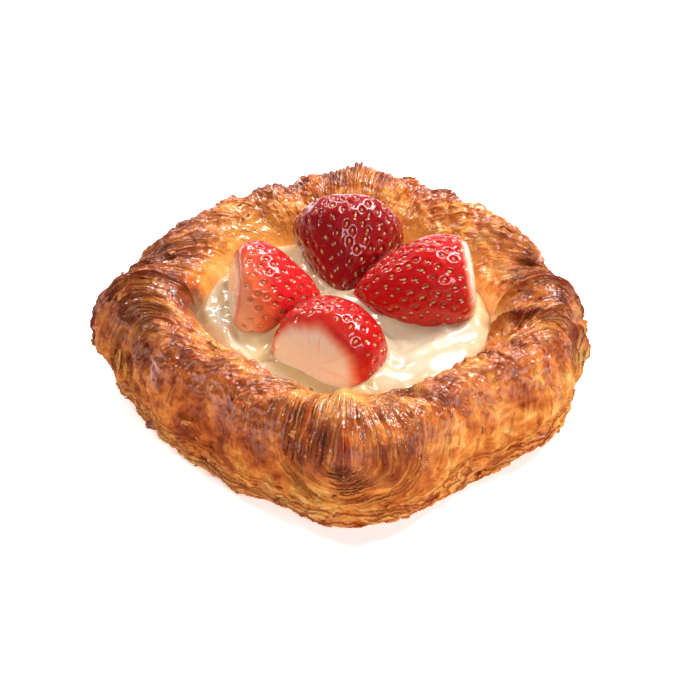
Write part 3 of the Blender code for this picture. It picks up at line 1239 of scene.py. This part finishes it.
            ring = np.concatenate([loop, loop[:1]])
            pairs = (ring[1:], ring[:-1]) if side == 0 else (ring[:-1], ring[1:])
            fan = np.stack([*pairs, np.full(len(loop), heart)], axis=-1)
            steps = np.linspace(0.01, 0.99, len(ring))
            outer, inner = 0.965 + 0.02 * side, 0.975 + 0.02 * side
            order = (steps[1:], steps[:-1]) if side == 0 else (steps[:-1], steps[1:])
            fan_uv = np.stack(
                [0 * order[0] + outer, order[0], 0 * order[0] + outer, order[1], 0 * order[0] + inner, sum(order) / 2],
                axis=-1,
            ).reshape(-1, 2)
            faces.append(fan)
            maps.append(fan_uv)
            direction = ray[column]
            heart_points.append([direction[0] * 44.0, direction[1] * 44.0, 5.0])
        poles = np.array([[0.0, 0.0, self.floor_height], [0.0, 0.0, 0.0], *heart_points])
        points = np.vstack([grid.reshape(-1, 3), poles])
        stored = {}
        for name, values in facts.items():
            flat = values.reshape(total * columns, *values.shape[2:])
            stored[name] = np.concatenate([flat, np.repeat(flat[:1], 4, axis=0)])
        return make_piece(self.flap_names[number], points, faces, np.vstack(maps), material, stored)

    def flakes(self) -> bpy.types.Object:
        """Scatters loose flakes of crust over the wall and the shoulder.

        Returns:
            The flakes, as one piece.
        """
        rng = np.random.default_rng(71)
        levels = rng.choice([14.0, 24.0, 34.0, 44.0, 50.0, 54.0], self.flake_count)
        rows = np.interp(levels, self.along, np.arange(len(self.along)))
        rows = np.clip(rows + rng.normal(0, 14, self.flake_count), 30, len(self.along) - 8).astype(int)
        columns = rng.integers(0, self.columns, self.flake_count)
        skin = surface_normals(self.points, True)
        out_of = skin[rows, columns] + rng.normal(0, 0.22, (self.flake_count, 3))
        lying = self.points[rows, (columns + 3) % self.columns] - self.points[rows, columns]
        lying += rng.normal(0, 0.25, (self.flake_count, 3))
        seat = self.points[rows, columns] + 0.10 * skin[rows, columns]
        seat[:, 2] = np.maximum(seat[:, 2], 2.4)
        scatter = Scatter(Morsel.FLAKE, 2.8, 1.4, 0.14, 0.35, 1.2, 9)
        return scatter.scatter("crust_flakes", seat, out_of, lying, scatter.tree(FlakeFinish().make()))

    def build(self) -> list[bpy.types.Object]:
        """Builds the four flaps and the flakes on them.

        Returns:
            Their objects.
        """
        self.form()
        material = self.finish.make()
        flaps = [self.flap(number, material) for number in range(len(self.flap_names))]
        for piece in flaps:
            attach(piece, "root")
            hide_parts("pastry")
        flakes = self.flakes()
        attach(flakes, "root")
        for piece in (*flaps, flakes):
            LOG.info("%s: %d faces", piece.name, len(piece.data.polygons))
        return [*flaps, flakes]


# ---------------------------------------------------------------------------------------------------------------
# The strawberries
# ---------------------------------------------------------------------------------------------------------------


@dataclass
class Strawberry:
    """One hulled strawberry, lying with its tip towards the middle.

    Attributes:
        name: The node's name.
        length: From the hulled face to the tip.
        diameter: The largest.
        face: The hulled face's width as a share of the diameter.
        middle: The middle of the hulled face.
        towards: The point that the tip reaches towards.
        ripeness: How it has coloured.
        pale_from: How far down the fruit the pale shoulder reaches, from 0 to 1.
        pale_side: The way out of the fruit where the pale shoulder reaches furthest.
        taper: How straight its sides run to the tip: 2 is round, and 1 a cone.
        cut_shift: How far the hull's cut sits from the middle of the face, in millimetres.
        cut_width: The cut's width as a share of the face's.
        pale_lean: How much further the pale shoulder reaches on its own side.
        lumps: How lumpy the fruit is, as a share of its radius.
        seed: Chooses its small irregularities.
    """

    name: str
    length: float
    diameter: float
    face: float
    middle: tuple[float, float, float]
    towards: tuple[float, float, float]
    ripeness: Ripeness
    pale_from: float
    pale_side: tuple[float, float, float]
    taper: float
    seed: int
    cut_shift: tuple[float, float, float] = (0.0, 0.0, 0.0)
    cut_width: float = 1.0
    pale_lean: float = 0.1
    lumps: float = 0.045
    around: int = 288
    seed_gap: float = 3.1

    def frame(self) -> np.ndarray:
        """The fruit's own axes, its last along the fruit to the tip, as rows."""
        axis = Vector(self.towards) - Vector(self.middle)
        return np.array(axis.to_track_quat("Z", "Y").to_matrix().transposed())

    def profile(self) -> tuple[np.ndarray, np.ndarray, np.ndarray]:
        """The fruit's outline from the middle of its face to its tip: radius, height and distance along."""
        half = self.diameter / 2
        rim = half * self.face
        knots = [(0.0, -0.5), (0.4 * rim, -0.45), (0.68 * rim, -0.2), (0.86 * rim, 0.25), (0.96 * rim, 1.0)]
        for share in (0.1, 0.18, 0.3, 0.42, 0.54, 0.66, 0.76, 0.85, 0.92, 0.97):
            if share <= 0.3:
                radius = half * (1 - (1 - self.face) * (1 - share / 0.3) ** 2)
            else:
                radius = half * (1 - ((share - 0.3) / 0.7) ** self.taper) ** 0.8
            knots.append((radius, share * self.length))
        knots.append((0.0, self.length))
        curve = smooth_curve(np.array(knots), 20)
        run = arc_length(curve)
        rows = int(run[-1] / 0.27)
        along = np.linspace(0, run[-1], rows)[1:-1]
        return np.interp(along, run, curve[:, 0]), np.interp(along, run, curve[:, 1]), along

    def pips(self, radius: np.ndarray, height: np.ndarray) -> tuple[np.ndarray, np.ndarray]:
        """Where the seeds sit: on a spiral that gives each the same share of the skin, then nudged.

        Args:
            radius: The outline's radii.
            height: The outline's heights.

        Returns:
            The seeds' angles round the fruit, and their heights.
        """
        rng = np.random.default_rng(self.seed)
        skin = height > 1.1
        wide, level = radius[skin], height[skin]
        run = arc_length(np.stack([wide, level], axis=1))
        area = np.concatenate([[0.0], np.cumsum(math.pi * (wide[1:] + wide[:-1]) * np.diff(run))])
        count = int(area[-1] / (0.86 * self.seed_gap**2))
        place = (np.arange(count) + 0.5 + rng.normal(0, 0.9, count)) / count
        levels = np.interp(np.clip(place, 0.004, 0.985) * area[-1], area, level)
        radii = np.interp(levels, level, wide)
        turns = np.arange(count) * TURN * GOLDEN_TURN + rng.normal(0, 0.42, count) / np.maximum(radii, 2.5)
        return turns % TURN, levels

    def build(self, scatter: Scatter, tree: bpy.types.NodeTree) -> list[bpy.types.Object]:
        """Builds the fruit and its seeds.

        Args:
            scatter: Sets the seeds.
            tree: The seeds' node tree.

        Returns:
            The fruit's object and the seeds'.
        """
        radius, height, _ = self.profile()
        angles = np.arange(self.around) * TURN / self.around
        lump = Noise(self.seed)
        ring = np.stack([np.cos(angles), np.sin(angles)], axis=-1)
        span = height[:, None] / self.length
        wobble = 1 + self.lumps * lump(ring[None, :, 0] * 1.3 + 0 * span, ring[None, :, 1] * 1.3 + 0 * span, span * 2.2)
        wobble += 0.02 * lump(ring[None, :, 0] * 3.1 + 9, ring[None, :, 1] * 3.1 + 0 * span, span * 4)
        wide = radius[:, None] * wobble
        points = np.stack([wide * ring[None, :, 0], wide * ring[None, :, 1], height[:, None] + 0 * wide], axis=-1)
        bend = lump(np.array([0.4]), np.array([0.7]), np.array([0.1]))[0]
        points[..., 0] += 1.2 * bend * span**2
        normals = surface_normals(points, True)
        turns, levels = self.pips(radius, height)
        skin_from = int(np.argmax(height > 0.6))
        at_row = np.interp(levels, height[skin_from:], np.arange(len(height))[skin_from:])
        at_column = turns / TURN * self.around
        rows = np.clip(np.round(at_row).astype(int), 1, len(height) - 2)
        columns = np.round(at_column).astype(int) % self.around
        places, out_of = points[rows, columns], normals[rows, columns]
        down = points[np.minimum(rows + 2, len(height) - 1), columns] - places
        down /= np.linalg.norm(down, axis=1, keepdims=True)
        side = np.cross(out_of, down)
        pit = np.zeros(points.shape[:2])
        collar = np.zeros(points.shape[:2])
        for place, fall, wide_way in zip(places, down, side):
            close = np.abs(points - place).max(axis=-1) < 3.2
            offset = points[close] - place
            gap = np.hypot(offset @ fall / 1.15, offset @ wide_way / 0.86)
            pit[close] = np.maximum(pit[close], bell(gap, 0.72))
            collar[close] = np.maximum(collar[close], bell(gap - 1.2, 0.55))
        sink = 0.48 * pit - 0.08 * collar
        fine = 0.05 * lump.at(points, 1.6) + 0.12 * lump.at(points + 30, 5.0)
        on_face = 1 - ease(0.4, 2.4 * self.cut_width, height)[:, None] + 0 * wide
        rays = lump(ring[None, :, 0] * 5.5 + 0 * span, ring[None, :, 1] * 5.5 + 0 * span, 0.6 * span)
        raised = (fine - sink) * (1 - 0.6 * on_face) + 0.05 * rays * on_face
        skin = points + normals * raised[..., None]
        frame_rows = self.frame()
        home = np.array(self.middle)
        lean = frame_rows @ np.array(self.pale_side)
        toward = lean[0] * ring[None, :, 0] + lean[1] * ring[None, :, 1]
        reach = self.pale_from + self.pale_lean * toward
        patchy = 0.10 * lump.at(points + 60, 8.0) + 0.05 * lump.at(points + 80, 3.0)
        red = ease(-0.25, 0.55, span - reach + patchy) * 0.85 + 0.15 * span
        shift = frame_rows @ np.array(self.cut_shift)
        off_cut = np.hypot(points[..., 0] - shift[0], points[..., 1] - shift[1])
        edge = off_cut / (self.diameter / 2 * self.face) + 0.03 * rays + 0.10 * lump.at(points + 70, 7.0)
        cut = on_face * (1 - ease(self.cut_width - 0.5, self.cut_width + 0.02, edge))
        from_axis = radius[:, None] / (self.diameter / 2) + 0 * wide
        ray = np.stack([5.0 * ring[None, :, 0] + 0 * wide, 5.0 * ring[None, :, 1] + 0 * wide, 0.9 * from_axis], axis=-1)
        facts = {"red": np.clip(red, 0, 1), "cut": np.clip(cut, 0, 1), "pit": pit, "ray": ray}
        pole = np.array([[0.0, 0.0, -0.5], [1.2 * bend, 0.0, self.length]]) @ frame_rows + home
        fruit = make_shell(
            self.name + "_fruit",
            skin @ frame_rows + home,
            pole[0],
            pole[1],
            BerryFinish(self.ripeness).make(),
            facts,
        )
        seat = places - out_of * SEED_SINK
        seeds = scatter.scatter(
            self.name + "_seeds", seat @ frame_rows + home, out_of @ frame_rows, down @ frame_rows, tree
        )
        for piece in (fruit, seeds):
            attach(piece, "root")
            LOG.info("%s: %d faces", piece.name, len(piece.data.polygons))
        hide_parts(self.name)
        return [fruit, seeds]


STRAWBERRIES = (
    Strawberry(
        name="strawberry_front",
        length=23.0,
        diameter=26.4,
        face=0.88,
        middle=(-5.6, -22.6, 24.4),
        towards=(5.0, -0.4, 19.5),
        ripeness=Ripeness.RED,
        pale_from=-0.22,
        pale_side=(-0.7, 0.2, 0.3),
        taper=2.0,
        cut_shift=(-2.2, 0.0, -2.2),
        cut_width=1.22,
        seed=61,
    ),
    Strawberry(
        name="strawberry_left",
        length=21.5,
        diameter=23.8,
        face=0.93,
        middle=(-25.6, 2.4, 27.6),
        towards=(-3.0, 5.4, 23.6),
        ripeness=Ripeness.BLUSHED,
        pale_from=0.0,
        pale_side=(0.1, -0.75, -0.75),
        pale_lean=0.26,
        taper=1.35,
        seed=62,
    ),
    Strawberry(
        name="strawberry_back",
        length=25.0,
        diameter=26.6,
        face=0.72,
        middle=(2.6, 30.4, 32.0),
        towards=(0.2, 8.6, 21.4),
        ripeness=Ripeness.DEEP,
        pale_from=-0.1,
        pale_side=(0.0, 1.0, 0.0),
        taper=1.35,
        lumps=0.09,
        seed=63,
    ),
    Strawberry(
        name="strawberry_right",
        length=28.5,
        diameter=22.5,
        face=0.84,
        middle=(30.9, 4.4, 30.0),
        towards=(3.0, 2.6, 27.0),
        ripeness=Ripeness.RED,
        pale_from=-0.25,
        pale_side=(1.0, 0.0, 0.0),
        taper=1.7,
        cut_width=1.3,
        seed=64,
    ),
)


# ---------------------------------------------------------------------------------------------------------------
# The custard
# ---------------------------------------------------------------------------------------------------------------


@dataclass(frozen=True)
class Ridge:
    """A soft ridge that a spoon has left: its two ends in plan, its height and its width."""

    start: tuple[float, float]
    end: tuple[float, float]
    height: float
    width: float


@dataclass
class Custard:
    """The custard in the well: spooned in soft folds, pushed up round the strawberries."""

    ridges: tuple[Ridge, ...] = (
        Ridge((8.0, -26.5), (28.0, -14.0), 1.0, 2.0),
        Ridge((13.0, -19.0), (30.0, -6.0), 1.1, 1.8),
        Ridge((20.0, -24.0), (24.0, -8.0), 0.6, 2.4),
        Ridge((-30.0, 2.0), (-27.0, -12.0), 0.9, 1.7),
        Ridge((-14.0, 22.0), (-26.0, 12.0), 0.8, 2.4),
    )
    level: float = 21.4
    dome: float = 1.5
    depth: float = 9.8
    around: int = 420
    rings: int = 130

    def build(self, case: PastryCase, berries: tuple[Strawberry, ...]) -> bpy.types.Object:
        """Builds the custard.

        Args:
            case: The case that holds it.
            berries: The strawberries set in it.

        Returns:
            The custard's object.
        """
        angles = np.arange(self.around) * TURN / self.around
        edge = case.around(angles)[1] + 0.6
        share = np.linspace(1, 0, self.rings, endpoint=False)
        flat = (share[:, None] * edge[None])[..., None] * np.stack([np.cos(angles), np.sin(angles)], axis=-1)[None]
        swirl = Noise(41)
        place = np.concatenate([flat, np.zeros((*flat.shape[:2], 1))], axis=-1)
        height = self.level + self.dome * (1 - share[:, None] ** 2) + 0 * flat[..., 0]
        folds = np.abs(swirl(flat[..., 0] / 9.0, flat[..., 1] / 6.0, 0.5))
        height += 0.9 * swirl.at(place, 12.0) + 0.8 * (0.4 - folds) + 0.15 * swirl.at(place + 40, 4.0)
        for ridge in self.ridges:
            start, span = np.array(ridge.start), np.array(ridge.end) - np.array(ridge.start)
            share_along = np.clip((flat - start) @ span / (span @ span), 0, 1)
            off = np.linalg.norm(flat - start - share_along[..., None] * span, axis=-1)
            height += ridge.height * bell(off + 0.6 * swirl.at(place + 70, 5.0), ridge.width)
        bank = bell((np.degrees(angles) - 205.0) / 60.0, 1.0)[None]
        height += 1.5 * bank * bell((1 - share[:, None]) * edge[None] - 2.6, 1.7)
        height -= 2.7 * bell(np.hypot(flat[..., 0] + 3.0, flat[..., 1] + 24.0), 10.0)
        glaze_pool_and_shade = 0.5 - 0.5 * np.clip((height - self.level - 0.6) / 1.6, -1, 1)
        for berry in berries:
            gap = self.gap_to(berry, flat, height)
            height += 1.3 * bell(np.maximum(gap - 0.6, 0), 1.6) - 0.5 * bell(gap - 4.5, 2.0)
            # Pooled glaze and painted shade: darker against each strawberry.
            glaze_pool_and_shade += 0.4 * bell(gap, 1.6)
        # Painted shade: darker over the left side and round the crust's edge.
        glaze_pool_and_shade += 0.35 * ease(14.0, -16.0, flat[..., 0]) + 0.3 * ease(0.86, 1.0, share)[:, None] - 0.25
        height -= 0.8 * ease(0.93, 1.0, share)[:, None]
        top = np.concatenate([flat, height[..., None]], axis=-1)
        side = []
        for inset, drop in ((0.93, 0.45), (0.78, 0.88), (0.5, 1.0), (0.2, 1.0)):
            ring = np.concatenate([flat[0] * inset, np.full((self.around, 1), 0.0)], axis=-1)
            ring[:, 2] = height[0] * (1 - drop) + self.depth * drop
            side.append(ring)
        below = np.stack(side[::-1])
        points = np.concatenate([below, top])
        glaze_pool_and_shade = np.concatenate([np.repeat(glaze_pool_and_shade[:1], len(side), 0), glaze_pool_and_shade])
        middle = np.array([0.0, 0.0, float(height[-1].mean())])
        piece = make_shell(
            "custard_filling",
            points,
            np.array([0.0, 0.0, self.depth]),
            middle,
            CustardFinish().make(),
            {"glaze_pool_and_shade": np.clip(glaze_pool_and_shade, 0, 1)},
        )
        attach(piece, "root")
        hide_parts("custard")
        LOG.info("%s: %d faces", piece.name, len(piece.data.polygons))
        return piece

    def gap_to(self, berry: Strawberry, flat: np.ndarray, height: np.ndarray) -> np.ndarray:
        """How far each point of the top is from a strawberry's skin, about.

        Args:
            berry: The strawberry.
            flat: The top's points in plan.
            height: Their heights.

        Returns:
            The distances, below nought inside the fruit.
        """
        radius, along, _ = berry.profile()
        place = np.concatenate([flat, height[..., None]], axis=-1) - np.array(berry.middle)
        local = place @ berry.frame().T
        skin = along > 0.8
        wide = np.interp(local[..., 2], along[skin], radius[skin])
        out = np.hypot(local[..., 0], local[..., 1]) - wide
        ends = np.maximum(-local[..., 2], local[..., 2] - berry.length)
        return np.where(ends > 0, np.hypot(np.maximum(out, 0), ends), out)


# ---------------------------------------------------------------------------------------------------------------
# The studio
# ---------------------------------------------------------------------------------------------------------------


@dataclass(frozen=True)
class Softbox:
    """A soft light: where it hangs, how wide it is and how strong."""

    name: str
    place: tuple[float, float, float]
    size: tuple[float, float]
    watts: float


@dataclass
class Studio:
    """The pale floor, the soft lights and the camera."""

    aim: tuple[float, float, float] = (-0.00036, 0.0, 0.015)
    elevation: float = 36.0
    distance: float = 0.70
    lens: float = 155.65
    lights: tuple[Softbox, ...] = (
        Softbox("key_light", (0.34, 0.22, 0.60), (0.30, 0.34), 7.0),
        Softbox("back_strip", (-0.10, 0.62, 0.44), (0.50, 0.09), 2.1),
        Softbox("left_light", (-0.46, 0.20, 0.44), (0.12, 0.20), 1.5),
        Softbox("front_light", (0.20, -0.62, 0.46), (0.34, 0.20), 2.4),
    )

    def build(self) -> None:
        """Lays the floor, hangs the lights and places the camera."""
        mesh = bpy.data.meshes.new("floor")
        half = FLOOR_HALF
        mesh.from_pydata([(-half, -half, 0), (half, -half, 0), (half, half, 0), (-half, half, 0)], [], [(0, 1, 2, 3)])
        mesh.materials.append(FloorFinish().make())
        floor = bpy.data.objects.new("floor", mesh)
        bpy.context.scene.collection.objects.link(floor)
        for softbox in self.lights:
            lamp = bpy.data.lights.new(softbox.name, "AREA")
            lamp.shape = "RECTANGLE"
            lamp.size, lamp.size_y = softbox.size
            lamp.energy = softbox.watts
            holder = bpy.data.objects.new(softbox.name, lamp)
            holder.location = softbox.place
            turn = (Vector(LIGHT_AIM) - Vector(softbox.place)).to_track_quat("-Z", "Y")
            holder.rotation_euler = turn.to_euler()
            bpy.context.scene.collection.objects.link(holder)
        world = bpy.data.worlds.new("studio_air")
        world.use_nodes = True
        world.node_tree.nodes["Background"].inputs["Color"].default_value = (1.0, 1.0, 1.0, 1.0)
        world.node_tree.nodes["Background"].inputs["Strength"].default_value = 0.13
        bpy.context.scene.world = world
        camera = bpy.data.cameras.new("camera")
        camera.lens = self.lens
        camera.sensor_width = 36.0
        camera.clip_start = 0.01
        holder = bpy.data.objects.new("camera", camera)
        tilt = math.radians(self.elevation)
        away = Vector((0.0, -math.cos(tilt), math.sin(tilt))) * self.distance
        holder.location = Vector(self.aim) + away
        holder.rotation_euler = (-away).to_track_quat("-Z", "Y").to_euler()
        bpy.context.scene.collection.objects.link(holder)
        bpy.context.scene.camera = holder
        bpy.context.scene.view_settings.view_transform = "Standard"
        LOG.info("studio: %d lights", len(self.lights))


def main() -> None:
    """Builds the pastry and the studio."""
    logging.basicConfig(level=logging.INFO, format="%(name)s %(message)s")
    case = PastryCase()
    case.build()
    Custard().build(case, STRAWBERRIES)
    scatter = Scatter()
    tree = scatter.tree(SeedFinish().make())
    for berry in STRAWBERRIES:
        berry.build(scatter, tree)
    Studio().build()


if __name__ == "__main__":
    main()
